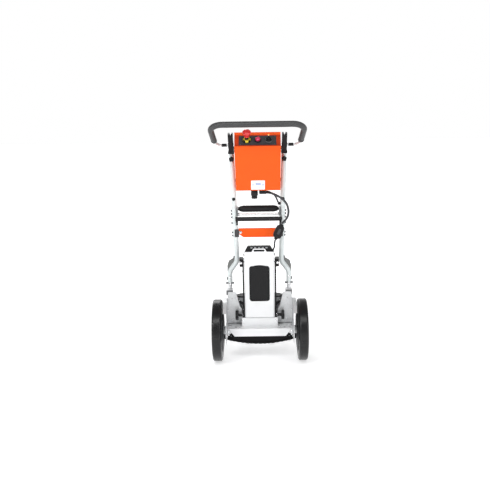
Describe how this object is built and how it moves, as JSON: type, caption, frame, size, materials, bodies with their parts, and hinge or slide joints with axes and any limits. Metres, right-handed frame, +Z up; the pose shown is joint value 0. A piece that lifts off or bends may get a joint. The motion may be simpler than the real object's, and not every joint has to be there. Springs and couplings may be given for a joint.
{
  "type": "stair climbing trolley",
  "caption": "Powered stair climbing hand trolley with solid wheels, curved lifting foot, tiltable foam handle loop, control box, battery under a sheet cover and a toe plate.",
  "frame": {"origin": "on the floor, in the middle of the trolley's length and width", "axes": "+Z up, +X to the operator's right, +Y towards the load side with the toe plate, -Y towards the operator"},
  "size_m": [0.457, 0.5467, 1.1483],
  "materials": {
    "galvanised": "zinc-plated sheet and tube, satin",
    "white_sheet": "pale grey powder coat, satin",
    "bright_steel": "bright plated steel",
    "dark_steel": "dark grey coated steel",
    "wheel_plastic": "glass-filled plastic, matte",
    "orange_coat": "orange powder coat, satin",
    "panel_grey": "charcoal, fine matte",
    "black_plastic": "moulded black plastic, fine texture",
    "black_coat": "black powder coat",
    "grey_housing": "grey moulded housing, matte",
    "foam": "closed-cell foam, matte",
    "tyre_rubber": "solid rubber, semi-matte",
    "sole_rubber": "rubber, matte",
    "cable_jacket": "rubber cable jacket, semi-matte",
    "yellow_plastic": "yellow plastic",
    "red_plastic": "red plastic, glossy",
    "circuit_board": "coated circuit board",
    "cell_wrap": "shrink wrap"
  },
  "bodies": {
    "chassis": {"upright_left": "galvanised", "upright_right": "galvanised", "frame_socket_left": "galvanised", "frame_socket_right": "galvanised", "side_plate_left": "galvanised", "side_plate_right": "galvanised", "load_panel": "galvanised", "toe_plate": "galvanised", "tray": "white_sheet", "battery_cover": "white_sheet", "axle": "bright_steel", "tie_rod": "bright_steel", "roller_bracket_left": "dark_steel", "roller_bracket_right": "dark_steel", "drive_motor": "dark_steel", "box_shell": "orange_coat", "box_rear_cover": "orange_coat", "cross_plate": "orange_coat", "panel_plate": "panel_grey", "cross_bar": "black_plastic", "housing_lid": "black_plastic", "screw_guard": "black_plastic", "battery_case": "black_plastic", "battery_lid": "black_plastic", "battery_frame": "black_coat", "pivot_sleeve_left": "black_plastic", "pivot_sleeve_right": "black_plastic", "box_connector": "black_plastic", "cable_gland": "black_plastic", "inline_connector": "black_plastic", "start_bezel": "black_plastic", "drive_housing": "grey_housing", "support_foot_left": "sole_rubber", "support_foot_right": "sole_rubber", "main_cable": "cable_jacket", "branch_cable": "cable_jacket", "battery_lead": "cable_jacket", "stop_collar": "yellow_plastic", "control_board": "circuit_board", "cell_pack": "cell_wrap"},
    "handle": {"handle_tube": "bright_steel", "foam_grip": "foam"},
    "wheel_left": {"tyre_left": "tyre_rubber", "wheel_hub_left": "wheel_plastic"},
    "wheel_right": {"tyre_right": "tyre_rubber", "wheel_hub_right": "wheel_plastic"},
    "foot": {"climbing_foot": "black_coat", "foot_sole": "sole_rubber", "lead_screw": "bright_steel"},
    "drive_nut": {"nut_gear": "bright_steel"},
    "pinion": {"motor_pinion": "bright_steel"},
    "roller": {"back_roller": "black_plastic"},
    "knob_left": {"cover_knob_left": "black_plastic"},
    "knob_right": {"cover_knob_right": "black_plastic"},
    "clamp_left": {"clamp_knob_left": "black_plastic"},
    "clamp_right": {"clamp_knob_right": "black_plastic"},
    "stop_stem": {"stop_plunger": "red_plastic"},
    "stop_head": {"stop_button": "red_plastic"},
    "start": {"start_button": "red_plastic"},
    "selector": {"selector_knob": "black_plastic"}
  },
  "joints": [
    {"name": "handle_tilt", "type": "hinge", "parent": "chassis", "child": "handle", "pos_m": [0, -0.0789, 1.044], "axis": [1, 0, 0], "range_deg": [-50, 35]},
    {"name": "wheel_left_spin", "type": "hinge", "parent": "chassis", "child": "wheel_left", "pos_m": [-0.20575, -0.05, 0.15], "axis": [1, 0, 0], "continuous": true},
    {"name": "wheel_right_spin", "type": "hinge", "parent": "chassis", "child": "wheel_right", "pos_m": [0.20575, -0.05, 0.15], "axis": [1, 0, 0], "continuous": true},
    {"name": "foot_slide", "type": "slide", "parent": "chassis", "child": "foot", "axis": [0, 0, -1], "range_m": [0, 0.24]},
    {"name": "nut_spin", "type": "hinge", "parent": "chassis", "child": "drive_nut", "pos_m": [0, 0.03, 0.192], "axis": [0, 0, 1], "range_deg": [0, 3600]},
    {"name": "pinion_spin", "type": "hinge", "parent": "chassis", "child": "pinion", "pos_m": [0.036, 0.03, 0.192], "axis": [0, 0, 1], "range_deg": [-7200, 0]},
    {"name": "roller_spin", "type": "hinge", "parent": "chassis", "child": "roller", "pos_m": [0, -0.0106, 0.74], "axis": [1, 0, 0], "continuous": true},
    {"name": "cover_knob_left_turn", "type": "hinge", "parent": "chassis", "child": "knob_left", "pos_m": [-0.1112, -0.041, 0.222], "axis": [-1, 0, 0], "range_deg": [0, 270]},
    {"name": "cover_knob_right_turn", "type": "hinge", "parent": "chassis", "child": "knob_right", "pos_m": [0.1112, -0.041, 0.222], "axis": [1, 0, 0], "range_deg": [0, 270]},
    {"name": "clamp_knob_left_turn", "type": "hinge", "parent": "chassis", "child": "clamp_left", "pos_m": [-0.1217, -0.0805, 0.982], "axis": [0, -0.9839, -0.1789], "range_deg": [0, 270]},
    {"name": "clamp_knob_right_turn", "type": "hinge", "parent": "chassis", "child": "clamp_right", "pos_m": [0.1217, -0.0805, 0.982], "axis": [0, -0.9839, -0.1789], "range_deg": [0, 270]},
    {"name": "stop_press", "type": "slide", "parent": "chassis", "child": "stop_stem", "axis": [0, 0.5961, -0.8029], "range_m": [0, 0.004]},
    {"name": "stop_twist", "type": "hinge", "parent": "stop_stem", "child": "stop_head", "pos_m": [-0.0485, -0.13327, 1.0635], "axis": [0, -0.5961, 0.8029], "range_deg": [0, 45], "stiffness_Nm_per_rad": 0.05},
    {"name": "start_press", "type": "slide", "parent": "chassis", "child": "start", "axis": [0, 0.5961, -0.8029], "range_m": [0, 0.003], "stiffness_N_per_m": 300},
    {"name": "selector_turn", "type": "hinge", "parent": "chassis", "child": "selector", "pos_m": [0.0506, -0.13327, 1.0635], "axis": [0, -0.5961, 0.8029], "range_deg": [-45, 45]}
  ],
  "couplings": [
    {"joint": "nut_spin", "follows": "foot_slide", "rad_per_m": 261.8},
    {"joint": "pinion_spin", "follows": "foot_slide", "rad_per_m": -523.6}
  ]
}
